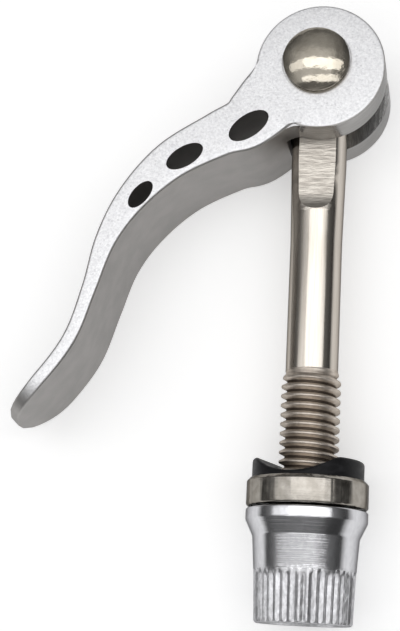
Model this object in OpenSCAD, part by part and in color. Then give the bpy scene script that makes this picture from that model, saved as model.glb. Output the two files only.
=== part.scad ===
// Quick-release skewer of a seatpost clamp: a cam lever on a pivot pin, an eye bolt, a plastic saddle
// and a steel washer that the cam presses on, and a knurled adjusting nut.
// It lies on its side. The pin is vertical, and the bolt runs from it along -Y.
// The origin is the foot of the pin axis, on the plane that the lever and the nut lie on.

/* [Cam head] */
// Radius of the round cam head
cam_r = 8.65; // [8.4:0.1:10]
// Distance from the pin axis to the centre of the cam
cam_offset = 0.8; // [0.5:0.1:1.4]
// Angle by which the highest point of the cam lies past the bolt when the lever is shut
over_centre = 36; // [10:1:45]
// Depth of the lever, along the pin
head_depth = 16; // [15:0.5:20]

/* [Lever arm] */
// Distance from the pin to the tip of the arm, across the bolt
arm_reach = 39.9; // [34:0.1:46]
// Distance from the pin to the tip of the arm, along the bolt
arm_drop = 48.6; // [44:0.2:56]
// Width of the arm at its root, beside the head
arm_root_w = 6.6; // [6:0.1:7.5]
// Width of the arm halfway down, past the holes
arm_mid_w = 4.4; // [3.8:0.1:5]
// Width of the thin paddle
arm_paddle_w = 2; // [1.6:0.1:2.6]
// Radius of the paddle's corners, seen on its broad side
paddle_corner_r = 7.4; // [3:0.1:7.8]
// Rounding of the long edges of the lever
lever_edge_r = 0.4; // [0.2:0.05:0.6]
// Width of the largest hole in the arm
hole_w = 3.2; // [2.4:0.1:3.4]
// Distance of the holes below the middle of the arm
hole_drop = 0.7; // [0.4:0.1:0.9]

/* [Pivot pin] */
// Diameter of the pin's body
pin_d = 4.5; // [3.8:0.1:4.8]
// Diameter of the domed pin head
dome_d = 8.9; // [7:0.1:9.5]
// Height of the pin head's straight rim
rim_h = 1.2; // [0.4:0.1:1.6]
// Height of the dome above that rim
dome_h = 1.5; // [1:0.1:2.4]

/* [Bolt] */
// Major diameter of the thread
thread_d = 7.9; // [7.6:0.1:8]
// Pitch of the thread
pitch = 1.25; // [1:0.05:1.5]
// Diameter of the plain shank
shank_d = 7; // [6.6:0.1:7.2]
// Diameter of the neck behind the eye
neck_d = 7.5; // [7.3:0.1:7.7]
// Thickness across the milled flats of the eye
flat_t = 5.6; // [5:0.1:6]
// Distance from the pin axis to the end of the flats
flat_end = 19; // [17:0.5:22]
// Distance from the pin axis to the first turn of the thread
thread_start = 41.2; // [38:0.1:44]
// Distance from the pin axis to the end of the bolt
bolt_end = 72; // [70:0.5:73]

/* [Washer and saddle] */
// Outer diameter of the steel washer
washer_d = 16; // [15.2:0.1:16]
// Thickness of the steel washer
washer_t = 3.75; // [3:0.05:4.5]
// Diameter of the plastic saddle
saddle_d = 14.7; // [13.5:0.1:14.9]
// Height of the saddle's horns above the washer
horn_h = 2.5; // [2.2:0.05:3.2]
// Angle by which the loose saddle is turned about the bolt
saddle_turn = 14; // [-30:1:30]

/* [Nut] */
// Distance from the pin axis to the bearing face of the nut
nut_at = 59.2; // [57:0.1:60]
// Diameter of the nut's flange
flange_d = 16; // [15.4:0.1:16]
// Overall length of the nut
nut_len = 14.7; // [14:0.1:16]
// Thickness of the nut's flange
flange_t = 1.5; // [1.2:0.1:2.2]
// Diameter of the smooth band next to the flange
band_d = 14; // [13.8:0.1:14.4]
// Diameter over the knurl, next to the smooth band
knurl_d = 13.3; // [13:0.1:13.7]
// Amount by which the knurl is narrower at the nut's end
knurl_taper = 0.5; // [0:0.1:0.8]
// Length of the knurl
knurl_len = 6.8; // [5.5:0.1:7.5]
// Number of knurl teeth
knurl_teeth = 38; // [30:1:44]

/* [Hidden] */
$fn = 96;

// Clearances: running fit of a shaft, play of the eye in the slot, loose fit on the bolt
running = 0.05;
eye_play = 0.1;
bolt_play = 0.25;
// Air between the washer and the nut, and around the bolt's eye in the lever
rest_gap = 0.2;
stop_gap = 0.3;
// Overshoot of a cut past the face that it opens
cut = 1;

mid = head_depth / 2;
cam_x = cam_offset * sin(over_centre);
cam_y = -cam_offset * cos(over_centre);
eye_r = neck_d / 2 + 0.15;
slot_w = flat_t + 2 * eye_play;
slot_wall = eye_r + stop_gap;
washer_at = nut_at - rest_gap - washer_t;
// Bore of the saddle, and the depth by which the saddle sits in the washer's cup
saddle_bore_r = thread_d / 2 + 2 * bolt_play;
cup_depth = 1;
// Shallow seat under the pin's head, and the pin's rear end riveted into a countersink
seat_depth = 0.3;
rivet_d = pin_d + 1.2;
rivet_h = 0.6;
rivet_recess = 0.15;

// Spine of the arm from inside the head to the tip: share of the reach, share of the drop, width
spine = [
    [0.103, 0.073, 1.60 * arm_root_w],
    [0.150, 0.107, 1.42 * arm_root_w],
    [0.231, 0.174, 1.20 * arm_root_w],
    [0.322, 0.208, arm_root_w],
    [0.481, 0.283, 0.86 * arm_root_w],
    [0.606, 0.391, arm_mid_w],
    [0.686, 0.510, 0.70 * arm_mid_w],
    [0.732, 0.646, 1.10 * arm_paddle_w],
    [0.789, 0.788, arm_paddle_w],
    [0.893, 0.912, 0.96 * arm_paddle_w],
    [1.000, 1.000, 0.84 * arm_paddle_w]
];
steps = 7;

// Smooth curve through points a, b, c and d, from b at u = 0 to c at u = 1
function curve(a, b, c, d, u) =
    0.5 * (2 * b + (c - a) * u + (2 * a - 5 * b + 4 * c - d) * u * u
        + (3 * b - a - 3 * c + d) * u * u * u);
function knot(i) =
    i < 0 ? 2 * spine[0] - spine[1] :
    i > len(spine) - 1 ? 2 * spine[len(spine) - 1] - spine[len(spine) - 2] :
    spine[i];
function spine_at(t) =
    let (i = min(floor(t), len(spine) - 2))
    curve(knot(i - 1), knot(i), knot(i + 1), knot(i + 2), t - i);
// Point of the spine in millimetres, its width, and the unit vector across the arm
function place(t) = [-arm_reach * spine_at(t)[0], -arm_drop * spine_at(t)[1]];
function arm_width(t) = spine_at(t)[2];
function across(t) =
    let (s = place(min(t + 0.02, len(spine) - 1)) - place(min(t, len(spine) - 1) - 0.02))
    [-s[1], s[0]] / norm(s);
// Half of the arm's depth, less towards the tip where the corners are rounded
function half_depth(from_tip) =
    from_tip >= paddle_corner_r ? mid :
    mid - paddle_corner_r + sqrt(pow(paddle_corner_r, 2) - pow(paddle_corner_r - from_tip, 2));
// Section of the arm: a rectangle with rounded corners, as points [across, up]
function section(half_w, half_d) =
    let (r = min(lever_edge_r, 0.9 * half_w, 0.9 * half_d))
    [for (corner = [0:3], a = [0, 30, 60, 90])
        let (
            sx = corner == 0 || corner == 3 ? 1 : -1,
            sy = corner < 2 ? 1 : -1
        )
        [
            sx * (half_w - r) + r * cos(90 * corner + a),
            sy * (half_d - r) + r * sin(90 * corner + a)
        ]];
function ring_at(t) =
    let (
        p = place(t),
        n = across(t),
        far = norm(place(len(spine) - 1) - p)
    )
    [for (q = section(arm_width(t) / 2, half_depth(far + 0.05)))
        [p[0] + n[0] * q[0], p[1] + n[1] * q[0], mid + q[1]]];

// A point just inside an edge of the arm, on the bolt's side with side = 1, and one just inside the rim
function edge_at(t, side, inset) = place(t) + side * (arm_width(t) / 2 - inset) * across(t);
function rim_at(a, inset) = [cam_x, cam_y] + (cam_r - inset) * [cos(a), sin(a)];

// A solid through closed rings of points, all with the same number of points
module skin(rings) {
    count = len(rings[0]);
    last = len(rings) - 1;
    points = [for (r = rings, p = r) p];
    sides = [for (i = [0:last - 1], j = [0:count - 1], upper = [false, true])
        let (k = (j + 1) % count, a = i * count, b = (i + 1) * count)
        upper ? [a + j, b + j, b + k] : [a + j, b + k, a + k]];
    first_cap = [for (j = [0:count - 1]) j];
    last_cap = [for (j = [0:count - 1]) (last + 1) * count - 1 - j];
    polyhedron(points, concat(sides, [first_cap, last_cap]), convexity = 6);
}

// Everything on the bolt is drawn along Z and laid along -Y at the middle of the head
module on_bolt(from_pin = 0) {
    translate([0, -from_pin, mid]) rotate([90, 0, 0]) children();
}

// An oval hole through the arm, along the spine
module arm_hole(t, hole_length, width) {
    n = across(t);
    turn = atan2(n[1], n[0]) + 90;
    centre = place(t) + hole_drop * n;
    outline = [for (a = [0:10:350]) [hole_length / 2 * cos(a), width / 2 * sin(a)]];
    translate([centre[0], centre[1], -cut])
        rotate([0, 0, turn])
        linear_extrude(head_depth + 2 * cut) polygon(outline);
}

module cam_disc() {
    e = lever_edge_r;
    translate([cam_x, cam_y, 0])
        rotate_extrude()
        polygon([
            [0, 0], [cam_r - e, 0], [cam_r - 0.3 * e, 0.3 * e], [cam_r, e],
            [cam_r, head_depth - e], [cam_r - 0.3 * e, head_depth - 0.3 * e],
            [cam_r - e, head_depth], [0, head_depth]
        ]);
}

// Rounds the corner that an edge of the arm makes with the head's rim
module root_fillet(side, corner_t, edge_t, rim_angle) {
    for (layer = [[0.05, lever_edge_r], [0.05 + lever_edge_r, 0]]) {
        from = rim_at(rim_angle, layer[0]);
        corner = edge_at(corner_t, side, layer[0]);
        to = edge_at(edge_t, side, layer[0]);
        bend = [for (u = [0:0.125:1])
            pow(1 - u, 2) * from + 2 * u * (1 - u) * corner + pow(u, 2) * to];
        translate([0, 0, layer[1]])
            linear_extrude(head_depth - 2 * layer[1])
            polygon(concat(bend, [place(edge_t), [cam_x, cam_y]]));
    }
}

module lever() {
    slot_reach = cam_r + cam_offset + cut;
    color([0.80, 0.80, 0.81]) difference() {
        union() {
            cam_disc();
            skin([for (i = [0:steps * (len(spine) - 1)]) ring_at(i / steps)]);
            root_fillet(-1, 0.43, 1.3, 158);
            root_fillet(1, 1.08, 1.5, -102);
        }
        translate([-slot_wall, -slot_reach - 2, mid - slot_w / 2])
            cube([slot_wall + slot_reach, 2 * slot_reach + 4, slot_w]);
        translate([0, 0, -cut]) cylinder(d = pin_d, h = head_depth + 2 * cut);
        translate([0, 0, head_depth - seat_depth])
            cylinder(d = dome_d + 0.5, h = seat_depth + cut);
        translate([0, 0, -0.001]) cylinder(d1 = rivet_d, d2 = pin_d, h = rivet_h);
        arm_hole(2, 1.9 * hole_w, hole_w);
        arm_hole(3.75, 1.72 * hole_w, 0.88 * hole_w);
        arm_hole(4.85, 1.38 * hole_w, 0.72 * hole_w);
    }
}

module pivot_pin() {
    // Radius of the sphere that the dome is part of
    ball = (pow(dome_d / 2, 2) + pow(dome_h, 2)) / (2 * dome_h);
    head_at = head_depth - seat_depth;
    color([0.70, 0.67, 0.60]) union() {
        translate([0, 0, rivet_recess])
            cylinder(d1 = rivet_d - 2 * rivet_recess, d2 = pin_d, h = rivet_h - rivet_recess);
        translate([0, 0, rivet_h - 0.01]) cylinder(d = pin_d, h = head_at - rivet_h + 0.02);
        translate([0, 0, head_at]) cylinder(d = dome_d, h = rim_h);
        translate([0, 0, head_at + rim_h]) intersection() {
            translate([0, 0, dome_h - ball]) sphere(r = ball);
            cylinder(d = dome_d, h = dome_h + cut);
        }
    }
}

// One flat of the eye with the round run-out of the cutter
module flat_cut() {
    cutter_r = 4;
    step = (shank_d - flat_t) / 2;
    run_out = sqrt(pow(cutter_r, 2) - pow(cutter_r - step, 2));
    straight = flat_end - run_out;
    translate([-neck_d, flat_t / 2, -neck_d]) cube([2 * neck_d, neck_d, straight + neck_d]);
    translate([-neck_d, flat_t / 2 + cutter_r, straight])
        rotate([0, 90, 0]) cylinder(r = cutter_r, h = 2 * neck_d);
}

module skewer_bolt() {
    thread_depth = 0.61 * pitch;
    crest = pitch / 8;
    root_r = thread_d / 2 - thread_depth;
    turns = floor((bolt_end - thread_start - pitch) / pitch);
    color([0.66, 0.62, 0.56]) difference() {
        union() {
            on_bolt() difference() {
                rotate_extrude() polygon(concat(
                    [
                        [0, 0], [neck_d / 2, 0], [neck_d / 2, 0.65 * flat_end],
                        [shank_d / 2, 1.22 * flat_end], [shank_d / 2, thread_start - 0.3],
                        [root_r, thread_start]
                    ],
                    [for (i = [0:turns - 1], q = [
                            [root_r, crest],
                            [thread_d / 2, pitch / 2 - crest / 2],
                            [thread_d / 2, pitch / 2 + crest / 2],
                            [root_r, pitch - crest]
                        ])
                        [q[0], thread_start + i * pitch + q[1]]],
                    [[root_r, bolt_end - 0.4], [root_r - 0.4, bolt_end], [0, bolt_end]]
                ));
                flat_cut();
                mirror([0, 1, 0]) flat_cut();
            }
            translate([0, 0, mid - flat_t / 2]) cylinder(r = eye_r, h = flat_t);
        }
        translate([0, 0, -cut]) cylinder(d = pin_d + 2 * running, h = head_depth + 2 * cut);
    }
}

module cup_washer() {
    top_chamfer = 0.5;
    foot_chamfer = 0.25;
    cup_r = saddle_d / 2 + running;
    bore_r = thread_d / 2 + bolt_play;
    color([0.72, 0.70, 0.64]) on_bolt(washer_at) rotate_extrude() polygon([
        [bore_r, cup_depth],
        [cup_r, cup_depth],
        [cup_r, 0.1],
        [washer_d / 2 - top_chamfer + 0.05, 0],
        [washer_d / 2, top_chamfer],
        [washer_d / 2, washer_t - foot_chamfer],
        [washer_d / 2 - foot_chamfer, washer_t],
        [bore_r, washer_t]
    ]);
}

module saddle() {
    web = 0.5;
    horn_chamfer = 0.4;
    body_r = saddle_d / 2;
    color([0.08, 0.08, 0.09]) on_bolt(washer_at) rotate([0, 0, saddle_turn]) difference() {
        rotate_extrude() polygon([
            [0, -horn_h], [body_r - horn_chamfer, -horn_h], [body_r, horn_chamfer - horn_h],
            [body_r, cup_depth], [0, cup_depth]
        ]);
        translate([0, saddle_d, -web - cam_r])
            rotate([90, 0, 0]) cylinder(r = cam_r, h = 2 * saddle_d);
        translate([0, 0, -horn_h - cut])
            cylinder(r = saddle_bore_r, h = horn_h + cup_depth + 2 * cut);
    }
}

module knurl_outline() {
    tooth = 0.32;
    polygon([for (i = [0:knurl_teeth - 1], q = [[0, tooth], [0.42, 0], [0.58, 0]])
        let (a = 360 * (i + q[0]) / knurl_teeth, r = knurl_d / 2 - q[1])
        [r * cos(a), r * sin(a)]]);
}

module adjusting_nut() {
    bevel_len = 2.1;
    band_end = nut_len - knurl_len;
    end_r = (knurl_d - knurl_taper) / 2;
    lip = 0.3;
    mouth_chamfer = 0.6;
    color([0.78, 0.78, 0.80]) on_bolt(nut_at) difference() {
        union() {
            rotate_extrude() polygon([
                [0, 0], [flange_d / 2 - 0.2, 0], [flange_d / 2, 0.2], [flange_d / 2, flange_t],
                [band_d / 2, flange_t + bevel_len], [knurl_d / 2, band_end], [0, band_end]
            ]);
            intersection() {
                translate([0, 0, band_end - 0.01])
                    linear_extrude(knurl_len + 0.01, scale = end_r / (knurl_d / 2)) knurl_outline();
                rotate_extrude() polygon([
                    [0, 0], [end_r + cut, 0], [end_r + cut, nut_len - lip - cut],
                    [end_r - lip, nut_len], [0, nut_len]
                ]);
            }
        }
        translate([0, 0, -cut]) cylinder(d = thread_d + 2 * running, h = nut_len + 2 * cut);
        for (mouth = [0, 1])
            translate([0, 0, mouth * nut_len]) mirror([0, 0, mouth])
                cylinder(r1 = thread_d / 2 + mouth_chamfer, r2 = thread_d / 2, h = mouth_chamfer);
    }
}

lever();
pivot_pin();
skewer_bolt();
saddle();
cup_washer();
adjusting_nut();
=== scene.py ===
import math
import random

import bmesh
import bpy
from mathutils import Matrix, Vector


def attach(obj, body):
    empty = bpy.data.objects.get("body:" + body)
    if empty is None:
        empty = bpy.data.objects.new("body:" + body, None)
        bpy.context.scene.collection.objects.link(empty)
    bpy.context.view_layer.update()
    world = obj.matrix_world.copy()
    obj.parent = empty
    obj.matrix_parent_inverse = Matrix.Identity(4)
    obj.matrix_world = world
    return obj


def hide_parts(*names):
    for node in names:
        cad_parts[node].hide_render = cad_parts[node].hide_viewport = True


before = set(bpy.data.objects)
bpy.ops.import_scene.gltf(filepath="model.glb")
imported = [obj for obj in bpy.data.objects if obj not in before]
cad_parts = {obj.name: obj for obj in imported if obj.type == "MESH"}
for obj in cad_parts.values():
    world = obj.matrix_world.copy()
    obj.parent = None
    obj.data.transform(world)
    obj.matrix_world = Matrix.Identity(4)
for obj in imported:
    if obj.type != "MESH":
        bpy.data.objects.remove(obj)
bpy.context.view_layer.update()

MM = 0.001
MID = 8.0  # height of the bolt's axis above the floor

# Bolt, as in the part's source
SHANK_D = 7.0
THREAD_D = 7.9
PITCH = 1.25
THREAD_START = 41.2
FLAT_END = 19.0
BOLT_END = 72.0
END_CHAMFER = 0.4
ROOT_R = THREAD_D / 2 - 0.61 * PITCH
RUN_IN = THREAD_START - 0.5
SHANK_CUT = THREAD_START - 0.25
THREAD_LAST = BOLT_END - END_CHAMFER
# Section of one ridge: share of the pitch along the bolt, share of the full height
THREAD_SECTION = [
    (0.00, 0.00), (0.05, 0.00), (0.10, 0.06), (0.36, 0.93), (0.42, 1.00),
    (0.52, 1.00), (0.58, 1.00), (0.64, 0.93), (0.90, 0.06), (0.95, 0.00),
]
THREAD_COLUMNS = 120

# Washer and saddle
WASHER_AT = 55.25
WASHER_D = 16.0
WASHER_T = 3.75
WASHER_BORE_R = 4.2
WASHER_CHAMFER = 0.5
CUP_DEPTH = 1.0
CUP_PLAY = 0.05
SADDLE_D = 14.7
SADDLE_BORE_R = 4.45
SADDLE_WEB = 0.5
SADDLE_TURN = 14.0
SADDLE_RIM = 0.45
HORN_H = 2.5
HORN_SOFT = 0.28
CAM_R = 8.65

# Cam of the lever, and the slot for the eye
CAM_X = 0.47
CAM_Y = -0.647
SLOT_W = 5.8

# Nut
NUT_AT = 59.2
FLANGE_D = 16.0
FLANGE_T = 1.5
BEVEL_LEN = 2.1
BAND_D = 14.0
KNURL_D = 13.3
KNURL_TAPER = 0.5
KNURL_LEN = 6.8
KNURL_TEETH = 38
TOOTH = 0.32
TOOTH_CREST = 0.08
TOOTH_RUN_IN = 0.45
NUT_LIP = 0.3
NUT_LEN = 14.7
NUT_BORE_R = 4.0
MOUTH_CHAMFER = 0.6
KNURL_START = NUT_LEN - KNURL_LEN

# Pivot pin
PIN_D = 4.5
DOME_D = 8.9
RIM_H = 1.2
DOME_H = 1.5
HEAD_AT = 15.7
RIVET_R = 2.68
RIVET_RECESS = 0.15
RIVET_DEPTH = 0.6

# Columns of points round a turned piece, and the small bevel that keeps an edge from being sharp
ROUND = 160
BREAK = 0.05


# Meshes


def new_object(name, verts, faces, sharp_deg=35.0, weld=0.0):
    """A smooth-shaded object from points in millimetres, with edges above sharp_deg kept crisp.
    Points nearer to each other than weld are joined, and open ends are closed."""
    mesh = bpy.data.meshes.new(name)
    mesh.from_pydata([Vector(v) * MM for v in verts], [], faces)
    mesh.validate()
    shape = bmesh.new()
    shape.from_mesh(mesh)
    if weld:
        bmesh.ops.remove_doubles(shape, verts=shape.verts, dist=weld * MM)
        bmesh.ops.dissolve_degenerate(shape, edges=shape.edges, dist=weld * MM)
    bmesh.ops.holes_fill(shape, edges=[edge for edge in shape.edges if edge.is_boundary])
    bmesh.ops.recalc_face_normals(shape, faces=shape.faces)
    shape.to_mesh(mesh)
    shape.free()
    mesh.shade_smooth()
    mesh.set_sharp_from_angle(angle=math.radians(sharp_deg))
    made = bpy.data.objects.new(name, mesh)
    bpy.context.collection.objects.link(made)
    return made


def skin(rings, closed_profile=False, caps=False):
    """Vertices and faces of a surface through rings of equal length; each ring is closed."""
    count = len(rings[0])
    verts = [point for ring in rings for point in ring]
    faces = []
    pairs = len(rings) if closed_profile else len(rings) - 1
    for i in range(pairs):
        a = i * count
        b = ((i + 1) % len(rings)) * count
        for j in range(count):
            k = (j + 1) % count
            faces.append((a + j, b + j, b + k, a + k))
    if caps:
        faces.append(tuple(range(count)))
        faces.append(tuple(reversed(range(len(verts) - count, len(verts)))))
    return verts, faces


def on_bolt(radius, angle, along):
    """A point at a radius and an angle round the bolt, at a distance along it from the pin."""
    return (radius * math.cos(angle), -along, MID + radius * math.sin(angle))


def angles(count):
    """Angles of evenly spaced columns round a turned piece."""
    return [2 * math.pi * i / count for i in range(count)]


def share_of(value, whole):
    """The value as a share of the whole, from 0 to 1."""
    return min(max(value / whole, 0.0), 1.0)


def soften(profile, radius, steps=3):
    """The closed profile with each corner replaced by a small curve."""
    result = []
    for i, corner in enumerate(profile):
        before = Vector(profile[i - 1]) - Vector(corner)
        after = Vector(profile[(i + 1) % len(profile)]) - Vector(corner)
        reach = min(radius, before.length * 0.45, after.length * 0.45)
        a = Vector(corner) + before.normalized() * reach
        b = Vector(corner) + after.normalized() * reach
        for k in range(steps + 1):
            u = k / steps
            point = a * (1 - u) ** 2 + Vector(corner) * (2 * u * (1 - u)) + b * u * u
            result.append(tuple(point))
    return result


def copy_of_node(name, node, keep=None, sharp_deg=30.0):
    """A smooth-shaded copy of a CAD node's form, its points joined. keep(points) may leave faces out."""
    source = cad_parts[node].data
    index = {}
    verts = []
    where = []
    for vertex in source.vertices:
        key = tuple(round(c * 1e7) for c in vertex.co)
        if key not in index:
            index[key] = len(verts)
            verts.append(tuple(c / MM for c in vertex.co))
        where.append(index[key])
    faces = []
    for polygon in source.polygons:
        face = [where[v] for v in polygon.vertices]
        if len(set(face)) < 3:
            continue
        if keep is None or keep([verts[v] for v in face]):
            faces.append(face)
    return new_object(name, verts, faces, sharp_deg)


def dress(obj, body, slot, material, *nodes):
    """Puts a piece on its body, in place of its CAD nodes, with its material; the slot is not used."""
    obj.data.materials.clear()
    obj.data.materials.append(material)
    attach(obj, body)
    if nodes:
        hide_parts(*nodes)


# Pieces


def lever_piece():
    """The cast lever, with the broad faces shaded flat and only the narrow edges shaded round."""
    made = copy_of_node("lever_casting", "lever", sharp_deg=40.0)
    flatten = made.modifiers.new("flat_faces", "WEIGHTED_NORMAL")
    flatten.mode = "FACE_AREA"
    flatten.weight = 50
    flatten.keep_sharp = True
    return made


def bolt_piece():
    """The eye, the neck and the shank of the CAD bolt, up to where its thread grows out of it."""

    def plain(face):
        return min(point[1] for point in face) > -SHANK_CUT

    return copy_of_node("bolt_shank", "skewer_bolt", plain)


def thread_radius(along, height):
    """Radius of the thread at a point of its section: it grows out of the shank and fades at the end."""
    start_r = SHANK_D / 2 - 0.02
    grow = share_of(along - RUN_IN, 1.3 * PITCH)
    fade = share_of(THREAD_LAST - 0.1 - along, 0.9 * PITCH)
    full = ROOT_R + (THREAD_D / 2 - ROOT_R) * height * fade
    return start_r + (full - start_r) * grow


def thread_piece():
    """The thread as one helix. Each column of points is the thread's section, moved along by its
    share of the pitch, so the last column meets the first one a whole turn on."""
    per_turn = len(THREAD_SECTION)
    turns = int((BOLT_END - THREAD_START) / PITCH) + 3
    first = THREAD_START - 1.6 * PITCH
    rows = turns * per_turn
    verts = []
    for i in range(THREAD_COLUMNS):
        share = i / THREAD_COLUMNS
        for j in range(rows):
            turn, part = divmod(j, per_turn)
            place, height = THREAD_SECTION[part]
            along = first + PITCH * (turn + place + share)
            along = min(max(along, RUN_IN - 0.1), THREAD_LAST)
            verts.append(on_bolt(thread_radius(along, height), -2 * math.pi * share, along))
    faces = []
    for i in range(THREAD_COLUMNS):
        k = (i + 1) % THREAD_COLUMNS
        shift = per_turn if k == 0 else 0
        for j in range(rows - 1 - shift):
            a = i * rows + j
            b = k * rows + j + shift
            faces.append((a, a + 1, b + 1, b))
    return new_object("bolt_thread", verts, faces, 50.0, weld=0.002)


def bolt_end_piece():
    """The chamfered end of the bolt, inside the nut."""
    profile = [(ROOT_R - 0.03, THREAD_LAST - 0.05), (ROOT_R, THREAD_LAST),
               (ROOT_R - END_CHAMFER, BOLT_END - 0.02)]
    rings = [[on_bolt(r, a, y) for a in angles(96)] for r, y in profile]
    return new_object("bolt_end", *skin(rings, caps=True))


def pin_piece():
    """Domed head, shank and riveted rear end of the pivot pin, turned round the pin's axis."""
    ball = ((DOME_D / 2) ** 2 + DOME_H ** 2) / (2 * DOME_H)
    edge = math.asin(DOME_D / 2 / ball)
    top = HEAD_AT + RIM_H
    steps = 24
    profile = [(0.05, RIVET_RECESS), (RIVET_R - 0.08, RIVET_RECESS), (RIVET_R, RIVET_RECESS + BREAK),
               (PIN_D / 2, RIVET_DEPTH), (PIN_D / 2, HEAD_AT), (DOME_D / 2 - BREAK, HEAD_AT),
               (DOME_D / 2, HEAD_AT + BREAK), (DOME_D / 2, top)]
    for i in range(1, steps + 1):
        turn = edge * (1 - i / steps)
        profile.append((max(ball * math.sin(turn), 0.03), top + DOME_H - ball + ball * math.cos(turn)))
    rings = [[(r * math.cos(a), r * math.sin(a), z) for a in angles(128)] for r, z in profile]
    return new_object("pin_domed", *skin(rings, caps=True), 40.0)


def washer_piece():
    """The steel washer: a cup for the saddle, a wide chamfer above and a small one below."""
    outer = WASHER_D / 2
    cup_r = SADDLE_D / 2 + CUP_PLAY
    below = WASHER_CHAMFER / 2
    profile = soften([
        (WASHER_BORE_R, CUP_DEPTH), (cup_r, CUP_DEPTH), (cup_r, 0.1), (outer - 0.45, 0.0),
        (outer, WASHER_CHAMFER), (outer, WASHER_T - below), (outer - below, WASHER_T),
        (WASHER_BORE_R, WASHER_T),
    ], 0.09)
    rings = [[on_bolt(r, a, WASHER_AT + y) for a in angles(ROUND)] for r, y in profile]
    return new_object("washer_turned", *skin(rings, closed_profile=True), 40.0)


def saddle_top(x, radius):
    """Height of the saddle above the washer, with rounded horns and a rounded rim."""
    dip = SADDLE_WEB + CAM_R - math.sqrt(CAM_R ** 2 - x * x)
    mixed = max(HORN_SOFT - abs(HORN_H - dip), 0.0) / HORN_SOFT
    height = min(HORN_H, dip) - mixed * mixed * HORN_SOFT / 4
    past = radius - (SADDLE_D / 2 - SADDLE_RIM)
    if past > 0:
        height -= SADDLE_RIM - math.sqrt(max(SADDLE_RIM ** 2 - past * past, 0.0))
    return height


def saddle_piece():
    """The plastic saddle, from its flat seat in the washer's cup up to its horns and into its bore."""
    outer = SADDLE_D / 2
    inner = outer - SADDLE_RIM
    steps = 12
    radii = [outer - SADDLE_RIM * (1 - math.cos(math.radians(a))) for a in (0, 25, 50, 75, 90)]
    radii += [inner - (inner - SADDLE_BORE_R) * i / steps for i in range(1, steps + 1)]
    turn = math.radians(SADDLE_TURN)
    columns = angles(ROUND)

    def ring(radius, height_of):
        return [on_bolt(radius, a + turn, WASHER_AT - height_of(a, radius)) for a in columns]

    def top(a, radius):
        return saddle_top(radius * math.cos(a), radius)

    rings = [
        ring(SADDLE_BORE_R, lambda a, r: -CUP_DEPTH),
        ring(outer - 0.1, lambda a, r: -CUP_DEPTH),
        ring(outer, lambda a, r: 0.1 - CUP_DEPTH),
        ring(outer, lambda a, r: 0.0),
    ]
    rings += [ring(radius, top) for radius in radii]
    return new_object("saddle_moulded", *skin(rings, closed_profile=True), 45.0)


def nut_radius(along, base, angle, teeth):
    """Radius of the nut's outside, with one groove between each pair of knurl teeth."""
    if along <= KNURL_START:
        return base
    step = 2 * math.pi / KNURL_TEETH
    number, part = divmod(angle / step, 1.0)
    deep, late = teeth[int(number) % KNURL_TEETH]
    groove = max(abs(part - 0.5) - TOOTH_CREST, 0.0) / (0.5 - TOOTH_CREST)
    return base - TOOTH * deep * groove * share_of(along - KNURL_START - late, TOOTH_RUN_IN)


def nut_profile():
    """Outside of the nut from its bearing face to its far end, as (radius, distance) pairs."""
    end_r = (KNURL_D - KNURL_TAPER) / 2
    steps = 24
    profile = soften([
        (FLANGE_D / 2 - 0.2, 0.0), (FLANGE_D / 2, 0.2), (FLANGE_D / 2, FLANGE_T),
        (BAND_D / 2, FLANGE_T + BEVEL_LEN), (KNURL_D / 2 + BREAK, KNURL_START - 0.15),
        (KNURL_D / 2, KNURL_START),
    ], 0.1)
    for i in range(1, steps + 1):
        share = i / steps
        radius = KNURL_D / 2 - share * (KNURL_D / 2 - end_r)
        profile.append((radius, KNURL_START + share * (KNURL_LEN - NUT_LIP)))
    return profile + [(end_r - 0.1, NUT_LEN - 0.12), (end_r - NUT_LIP, NUT_LEN)]


def nut_piece():
    """The adjusting nut: its knurled outside, then its chamfered bore."""
    bore = [
        (NUT_BORE_R + MOUTH_CHAMFER, NUT_LEN), (NUT_BORE_R, NUT_LEN - MOUTH_CHAMFER),
        (NUT_BORE_R, MOUTH_CHAMFER), (NUT_BORE_R + MOUTH_CHAMFER, 0.0),
    ]
    chance = random.Random(38)
    teeth = [(chance.uniform(0.72, 1.0), chance.uniform(0.0, 0.5)) for _ in range(KNURL_TEETH)]
    columns = angles(KNURL_TEETH * 12)
    rings = []
    for radius, along in nut_profile():
        left = share_of(NUT_LEN - along, NUT_LIP)
        rings.append([
            on_bolt(radius + (nut_radius(along, radius, a, teeth) - radius) * left, a, NUT_AT + along)
            for a in columns
        ])
    rings += [[on_bolt(radius, a, NUT_AT + along) for a in columns] for radius, along in bore]
    return new_object("nut_knurled", *skin(rings, closed_profile=True), 32.0)


# Materials


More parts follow.
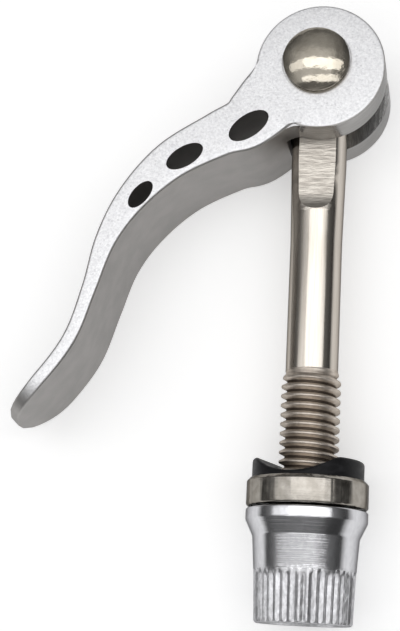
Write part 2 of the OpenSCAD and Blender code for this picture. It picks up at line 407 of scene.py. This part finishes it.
class Finish:
    """A material with one Principled shader, and short ways to add nodes to it."""

    def __init__(self, name, metallic=1.0, edge=0.45):
        self.material = bpy.data.materials.new(name)
        self.material.use_nodes = True
        self.tree = self.material.node_tree
        self.shader = self.tree.nodes["Principled BSDF"]
        self.shader.inputs["Metallic"].default_value = metallic
        self.shader.inputs["Specular Tint"].default_value = (edge, edge, edge, 1.0)
        self.place = self.add("ShaderNodeTexCoord")

    def add(self, kind, settings=None, **values):
        node = self.tree.nodes.new(kind)
        for key, value in (settings or {}).items():
            setattr(node, key, value)
        for key, value in values.items():
            self.put(value, node.inputs[key.replace("_", " ")])
        return node

    def put(self, value, socket):
        """Links a socket, or sets a plain value."""
        if isinstance(value, bpy.types.NodeSocket):
            self.tree.links.new(value, socket)
        else:
            socket.default_value = value

    def maths(self, operation, a, b=0.0):
        node = self.add("ShaderNodeMath", {"operation": operation})
        self.put(a, node.inputs[0])
        self.put(b, node.inputs[1])
        return node.outputs[0]

    def ramp(self, value, low, high, start=0.0, end=1.0, kind="LINEAR"):
        """Start where value is at low or less, end where it is at high or more."""
        node = self.add("ShaderNodeMapRange", {"clamp": True, "interpolation_type": kind})
        self.put(value, node.inputs["Value"])
        self.put(low, node.inputs["From Min"])
        self.put(high, node.inputs["From Max"])
        self.put(start, node.inputs["To Min"])
        self.put(end, node.inputs["To Max"])
        return node.outputs["Result"]

    def point(self, stretch=(1.0, 1.0, 1.0)):
        """The place on the object, in millimetres, stretched for directional grain."""
        node = self.add("ShaderNodeMapping")
        self.put(self.place.outputs["Object"], node.inputs["Vector"])
        node.inputs["Scale"].default_value = [s / MM for s in stretch]
        return node.outputs["Vector"]

    def noise(self, scale, detail=2.0, stretch=(1.0, 1.0, 1.0), roughness=0.5):
        node = self.add("ShaderNodeTexNoise", Scale=scale, Detail=detail, Roughness=roughness)
        self.put(self.point(stretch), node.inputs["Vector"])
        return node.outputs["Fac"]

    def colours(self, factor, first, second):
        node = self.add("ShaderNodeMix", {"data_type": "RGBA"})
        self.put(factor, node.inputs["Factor"])
        self.put(first if isinstance(first, bpy.types.NodeSocket) else (*first, 1.0), node.inputs["A"])
        self.put(second if isinstance(second, bpy.types.NodeSocket) else (*second, 1.0), node.inputs["B"])
        return next(o for o in node.outputs if o.type == "RGBA")

    def normal_part(self, axis):
        """Size of the object-space normal along one axis, from 0 to 1."""
        split = self.add("ShaderNodeSeparateXYZ")
        self.put(self.place.outputs["Normal"], split.inputs[0])
        return self.maths("ABSOLUTE", split.outputs[axis])

    def place_part(self, axis):
        """Distance along one axis of the object, in millimetres."""
        split = self.add("ShaderNodeSeparateXYZ")
        self.put(self.place.outputs["Object"], split.inputs[0])
        return self.maths("DIVIDE", split.outputs[axis], MM)

    def length(self, a, b):
        """Length of the vector with two given parts."""
        squares = self.maths("ADD", self.maths("MULTIPLY", a, a), self.maths("MULTIPLY", b, b))
        return self.maths("SQRT", squares)

    def bolt_radius(self):
        """Distance from the bolt's axis, in millimetres."""
        return self.length(self.place_part("X"), self.maths("SUBTRACT", self.place_part("Z"), MID))

    def cam_radius(self):
        """Distance from the cam's axis, in millimetres."""
        x = self.maths("SUBTRACT", self.place_part("X"), CAM_X)
        return self.length(x, self.maths("SUBTRACT", self.place_part("Y"), CAM_Y))

    def bumps(self, *layers):
        """Adds (height socket, depth in millimetres) layers on top of each other."""
        below = None
        for height, depth in layers:
            node = self.add("ShaderNodeBump", Height=height, Strength=1.0, Distance=depth * MM)
            if below is not None:
                self.put(below, node.inputs["Normal"])
            below = node.outputs["Normal"]
        self.put(below, self.shader.inputs["Normal"])

    def colour(self, value):
        self.put(value, self.shader.inputs["Base Color"])

    def roughness(self, value):
        self.put(value, self.shader.inputs["Roughness"])


def lever_finish():
    """Cast aluminium: bright blasted faces, grey satin sides, a polished cam and a milled slot with painted
    shade.
    """
    finish = Finish("cast_aluminium", edge=0.5)
    broad = finish.ramp(finish.normal_part("Z"), 0.80, 0.97)
    rim = finish.ramp(finish.cam_radius(), CAM_R + 0.25, CAM_R + 0.08)
    cam = finish.maths("MULTIPLY", rim, finish.maths("SUBTRACT", 1.0, broad))
    off_middle = finish.maths("ABSOLUTE", finish.maths("SUBTRACT", finish.place_part("Z"), MID))
    slot = finish.maths("MULTIPLY", rim, finish.ramp(off_middle, SLOT_W / 2 + 0.15, SLOT_W / 2 + 0.05))
    grain = finish.noise(3.4, 4.0, roughness=0.6)
    pits = finish.ramp(finish.noise(2.6, 2.0), 0.60, 0.72)
    cloud = finish.noise(0.35, 3.0)
    milled = finish.noise(1.0, 3.0, stretch=(0.25, 0.25, 5.0))
    scored = finish.noise(1.0, 4.0, stretch=(3.2, 0.5, 1.0))
    face = finish.colours(finish.ramp(grain, 0.32, 0.68), (0.70, 0.70, 0.715), (0.90, 0.90, 0.91))
    face = finish.colours(finish.maths("MULTIPLY", pits, 0.5), face, (0.52, 0.52, 0.535))
    # Painted shade: the milled slot faces get a darker colour than the blasted faces because the recess
    # between the cheeks lies in shade; their milling marks are real.
    milled_slot_with_shade = finish.colours(finish.ramp(scored, 0.35, 0.65), (0.36, 0.355, 0.35), (0.60, 0.595, 0.59))
    face = finish.colours(slot, face, milled_slot_with_shade)
    side = finish.colours(finish.ramp(cloud, 0.35, 0.65), (0.42, 0.41, 0.40), (0.465, 0.45, 0.44))
    track = finish.colours(finish.ramp(milled, 0.35, 0.65), (0.38, 0.37, 0.36), (0.52, 0.51, 0.50))
    side = finish.colours(cam, side, track)
    finish.colour(finish.colours(broad, side, face))
    finish.roughness(finish.ramp(finish.maths("MAXIMUM", cam, slot), 0.0, 1.0, 0.45, 0.24))
    relief = finish.maths("MULTIPLY", grain, finish.ramp(broad, 0.0, 1.0, 0.3, 1.0))
    marks = finish.maths("ADD", finish.maths("MULTIPLY", milled, cam), finish.maths("MULTIPLY", scored, slot))
    finish.bumps((cloud, 0.006), (relief, 0.03), (marks, 0.01))
    return finish.material


def bolt_finish():
    """Nickel-plated steel, with the cutter's marks across the flats."""
    finish = Finish("nickel_bolt", edge=0.25)
    along = finish.place_part("Y")
    flat = finish.ramp(finish.normal_part("Z"), 0.80, 0.83)
    flat = finish.maths("MULTIPLY", flat, finish.ramp(along, -FLAT_END - 0.3, -FLAT_END))
    marks = finish.noise(1.0, 4.0, stretch=(0.45, 2.6, 0.5), roughness=0.65)
    drawn = finish.noise(1.0, 3.0, stretch=(4.0, 0.15, 4.0))
    tone = finish.colours(finish.ramp(marks, 0.35, 0.62), (0.42, 0.385, 0.345), (0.66, 0.62, 0.56))
    plain = finish.colours(finish.ramp(drawn, 0.35, 0.65), (0.53, 0.485, 0.43), (0.61, 0.565, 0.51))
    finish.colour(finish.colours(flat, plain, tone))
    finish.roughness(finish.ramp(flat, 0.0, 1.0, 0.16, 0.34))
    finish.bumps((finish.maths("MULTIPLY", marks, flat), 0.07), (drawn, 0.003))
    return finish.material


def thread_finish():
    """The same plating, browner on the thread, with painted shade in its roots."""
    finish = Finish("nickel_thread", edge=0.3)
    # Painted shade in the roots: the colour goes near black where the surface lies near the thread's root
    # radius.
    deep = finish.ramp(finish.bolt_radius(), ROOT_R + 0.02, ROOT_R + 0.22)
    worn = finish.noise(1.6, 3.0)
    unshaded_plating = finish.colours(finish.ramp(worn, 0.35, 0.65), (0.56, 0.495, 0.43), (0.68, 0.615, 0.545))
    finish.colour(finish.colours(deep, (0.10, 0.08, 0.065), unshaded_plating))
    finish.roughness(finish.ramp(deep, 0.0, 1.0, 0.5, 0.42))
    finish.bumps((worn, 0.02))
    return finish.material


def pin_finish():
    """Polished nickel with fine handling marks."""
    finish = Finish("polished_pin", edge=0.4)
    haze = finish.noise(0.5, 4.0)
    marks = finish.noise(1.2, 5.0, stretch=(1.0, 2.4, 1.0))
    finish.colour(finish.colours(finish.ramp(haze, 0.3, 0.7), (0.50, 0.455, 0.38), (0.59, 0.545, 0.465)))
    finish.roughness(finish.ramp(marks, 0.4, 0.7, 0.07, 0.16))
    finish.bumps((haze, 0.09), (marks, 0.006))
    return finish.material


def washer_finish():
    """Turned and plated steel: fine rings round the rim, crossed by faint rolling marks."""
    finish = Finish("turned_washer", edge=0.25)
    rings = finish.noise(1.0, 3.0, stretch=(0.12, 7.0, 0.12))
    rolled = finish.noise(1.0, 2.0, stretch=(0.55, 0.04, 0.55))
    spots = finish.noise(0.9, 4.0)
    finish.colour(finish.colours(finish.ramp(spots, 0.35, 0.68), (0.29, 0.27, 0.24), (0.41, 0.385, 0.35)))
    finish.roughness(finish.ramp(spots, 0.3, 0.7, 0.15, 0.24))
    finish.bumps((rings, 0.012), (rolled, 0.22), (spots, 0.01))
    return finish.material


def saddle_finish():
    """Black moulded nylon with a fine eroded grain."""
    finish = Finish("black_nylon", metallic=0.0, edge=1.0)
    finish.shader.inputs["Specular IOR Level"].default_value = 0.2
    grain = finish.noise(4.5, 2.0)
    scuffs = finish.noise(0.7, 5.0, stretch=(1.0, 2.0, 1.0))
    finish.colour(finish.colours(finish.ramp(scuffs, 0.5, 0.75), (0.006, 0.006, 0.007), (0.018, 0.018, 0.02)))
    finish.roughness(finish.ramp(scuffs, 0.3, 0.7, 0.42, 0.62))
    finish.bumps((grain, 0.02), (scuffs, 0.02))
    return finish.material


def nut_finish():
    """Bright turned aluminium, with the knurled band rougher and a darker, mottled grey."""
    finish = Finish("turned_nut", edge=0.25)
    rings = finish.noise(1.0, 3.0, stretch=(0.1, 6.0, 0.1))
    torn = finish.noise(2.0, 4.0, stretch=(1.0, 0.6, 1.0))
    knurl_at = -(NUT_AT + KNURL_START)
    knurl = finish.ramp(finish.place_part("Y"), knurl_at - 0.5, knurl_at + 0.5, 1.0, 0.0)
    bright = finish.colours(finish.ramp(torn, 0.35, 0.65), (0.62, 0.62, 0.64), (0.69, 0.69, 0.71))
    rough = finish.colours(finish.ramp(torn, 0.42, 0.6), (0.52, 0.52, 0.535), (0.68, 0.68, 0.70))
    finish.colour(finish.colours(knurl, bright, rough))
    finish.roughness(finish.ramp(knurl, 0.0, 1.0, 0.16, 0.34))
    finish.bumps((rings, 0.012), (finish.maths("MULTIPLY", torn, knurl), 0.07))
    return finish.material


# Stage and light


# The floor's painted pool of light: its glow strength, the centre and half sizes of its white area, and the
# distance over which it fades to pale grey, in millimetres.
FLOOR_LIFT = 0.36
WHITE_X = -18.5
WHITE_Y = -29.5
WHITE_HALF_X = 31.5
WHITE_HALF_Y = 47.5
WHITE_FADE = 150.0
FLOOR_HALF = 6.0
SCENE_CENTRE = Vector((-0.010, -0.033, 0.008))

# Camera, fitted to the photograph by the lever, the bolt and the washer
CAMERA_AT = Vector((21.1, -80.8, 218.6))
CAMERA_BACK = Vector((0.167, -0.217, 0.962))
CAMERA_UP = Vector((-0.013, 0.975, 0.223))
CAMERA_LENS = 145.3


def shown_to_eye_and_mirror(finish):
    """1 for rays from the camera, and for rays that metal or glass sends on."""
    rays = finish.add("ShaderNodeLightPath").outputs
    mirrored = finish.maths("MAXIMUM", rays["Is Glossy Ray"], rays["Is Transmission Ray"])
    return finish.maths("MAXIMUM", rays["Is Camera Ray"], mirrored)


def floor_finish():
    """A painted pool of light: white under the object, its colour and glow fading to pale grey further
    out. The lamps give most of its brightness, so it keeps the object's shadow."""
    finish = Finish("pale_floor", metallic=0.0, edge=1.0)
    finish.shader.inputs["Specular IOR Level"].default_value = 0.1
    finish.roughness(0.9)
    outside = []
    for axis, centre, half in (("X", WHITE_X, WHITE_HALF_X), ("Y", WHITE_Y, WHITE_HALF_Y)):
        distance = finish.maths("ABSOLUTE", finish.maths("SUBTRACT", finish.place_part(axis), centre))
        outside.append(finish.maths("MAXIMUM", finish.maths("SUBTRACT", distance, half), 0.0))
    # Painted pool of light: 1 in the white area under the object, fading to 0 further out; it sets both the
    # floor's colour and its glow.
    painted_light_pool = finish.ramp(finish.length(*outside), 0.0, WHITE_FADE, 1.0, 0.0, "SMOOTHERSTEP")
    finish.colour(finish.colours(painted_light_pool, (0.68, 0.68, 0.68), (0.9, 0.9, 0.9)))
    pool_glow = finish.maths("MULTIPLY", shown_to_eye_and_mirror(finish), painted_light_pool)
    finish.shader.inputs["Emission Color"].default_value = (1, 1, 1, 1)
    finish.put(finish.maths("MULTIPLY", pool_glow, FLOOR_LIFT), finish.shader.inputs["Emission Strength"])
    return finish.material


def floor():
    """A flat floor out to the horizon."""
    corners = [(x * FLOOR_HALF, y * FLOOR_HALF, 0) for x, y in ((-1, -1), (1, -1), (1, 1), (-1, 1))]
    mesh = bpy.data.meshes.new("floor")
    mesh.from_pydata(corners, [], [(0, 1, 2, 3)])
    mesh.materials.append(floor_finish())
    made = bpy.data.objects.new("floor", mesh)
    bpy.context.collection.objects.link(made)


def softbox(name, x_deg, y_deg, distance, width, height, radiance):
    """A flat lamp over the object, tilted from the vertical by x_deg towards +X and by y_deg towards
    +Y. Its width runs along X and its height along Y."""
    lamp = bpy.data.lights.new(name, "AREA")
    lamp.shape = "RECTANGLE"
    lamp.size = width
    lamp.size_y = height
    lamp.energy = radiance * math.pi * width * height
    made = bpy.data.objects.new(name, lamp)
    bpy.context.collection.objects.link(made)
    away = Vector((math.tan(math.radians(x_deg)), math.tan(math.radians(y_deg)), 1.0)).normalized()
    across = (Vector((1, 0, 0)) - away * away.x).normalized()
    turn = Matrix((across, away.cross(across), away)).transposed()
    made.matrix_world = Matrix.Translation(SCENE_CENTRE + away * distance) @ turn.to_4x4()


def colour_band(tree, stops):
    """A colour ramp of greys from (place, grey) pairs."""
    band = tree.nodes.new("ShaderNodeValToRGB")
    marks = band.color_ramp.elements
    while len(marks) < len(stops):
        marks.new(0.5)
    for mark, (place, grey) in zip(marks, stops):
        mark.position = place
        mark.color = (grey, grey, grey, 1.0)
    return band


def sky():
    """A grey studio: dark at the horizon and far to the back, to the front and to the right."""
    world = bpy.data.worlds.new("studio")
    bpy.context.scene.world = world
    world.use_nodes = True
    tree = world.node_tree
    background = tree.nodes["Background"]
    place = tree.nodes.new("ShaderNodeTexCoord")
    split = tree.nodes.new("ShaderNodeSeparateXYZ")
    tree.links.new(place.outputs["Generated"], split.inputs[0])

    def across(axis, stops):
        """A grey band over the whole sky along one axis, with its places from -1 to 1."""
        band = colour_band(tree, [((place + 1) / 2, grey) for place, grey in stops])
        half = tree.nodes.new("ShaderNodeMapRange")
        half.inputs["From Min"].default_value = -1.0
        tree.links.new(split.outputs[axis], half.inputs["Value"])
        tree.links.new(half.outputs["Result"], band.inputs["Fac"])
        return band.outputs["Color"]

    rise = colour_band(tree, [(0.0, 0.17), (0.14, 0.17), (0.32, 0.30), (0.55, 0.48), (0.9, 0.74)])
    tree.links.new(split.outputs["Z"], rise.inputs["Fac"])
    tree.links.new(rise.outputs["Color"], background.inputs["Color"])
    strength = tree.nodes.new("ShaderNodeMath")
    strength.operation = "MULTIPLY"
    tree.links.new(across("Y", [(-0.88, 1.0), (-0.72, 0.28), (-0.60, 0.28), (-0.48, 1.0), (0.48, 1.0),
                                (0.64, 0.7), (0.80, 0.7), (0.94, 1.0)]), strength.inputs[0])
    tree.links.new(across("X", [(-0.94, 0.5), (-0.70, 1.0), (0.44, 1.0), (0.72, 0.35)]), strength.inputs[1])
    tree.links.new(strength.outputs[0], background.inputs["Strength"])


def camera():
    """The photograph's camera."""
    data = bpy.data.cameras.new("camera")
    data.sensor_fit = "HORIZONTAL"
    data.sensor_width = 36.0
    data.lens = CAMERA_LENS
    data.clip_start = 0.01
    data.clip_end = 10.0
    made = bpy.data.objects.new("camera", data)
    bpy.context.collection.objects.link(made)
    back = CAMERA_BACK.normalized()
    up = (CAMERA_UP - back * CAMERA_UP.dot(back)).normalized()
    right = up.cross(back)
    turn = Matrix((right, up, back)).transposed()
    made.matrix_world = Matrix.Translation(CAMERA_AT * MM) @ turn.to_4x4()
    bpy.context.scene.camera = made


def build():
    """All pieces of the object, each on its body."""
    dress(lever_piece(), "cam_lever", "lever_aluminium", lever_finish(), "lever")
    dress(pin_piece(), "cam_lever", "pin_steel", pin_finish(), "pivot_pin")
    dress(bolt_piece(), "bolt", "bolt_steel", bolt_finish(), "skewer_bolt")
    thread = thread_finish()
    dress(thread_piece(), "bolt", "bolt_steel", thread)
    dress(bolt_end_piece(), "bolt", "bolt_steel", thread)
    dress(washer_piece(), "washer", "washer_steel", washer_finish(), "cup_washer")
    dress(saddle_piece(), "cam_saddle", "saddle_plastic", saddle_finish(), "saddle")
    dress(nut_piece(), "nut", "nut_aluminium", nut_finish(), "adjusting_nut")


def light():
    """The sky and three softboxes."""
    sky()
    softbox("key", 12.0, 7.5, 0.9, 1.5, 0.34, 1.5)
    softbox("side", -45.0, 6.0, 0.9, 0.5, 0.26, 0.8)
    softbox("fill", 8.0, -28.0, 0.9, 1.5, 0.2, 1.15)


build()
floor()
light()
camera()
bpy.context.scene.view_settings.view_transform = "Standard"
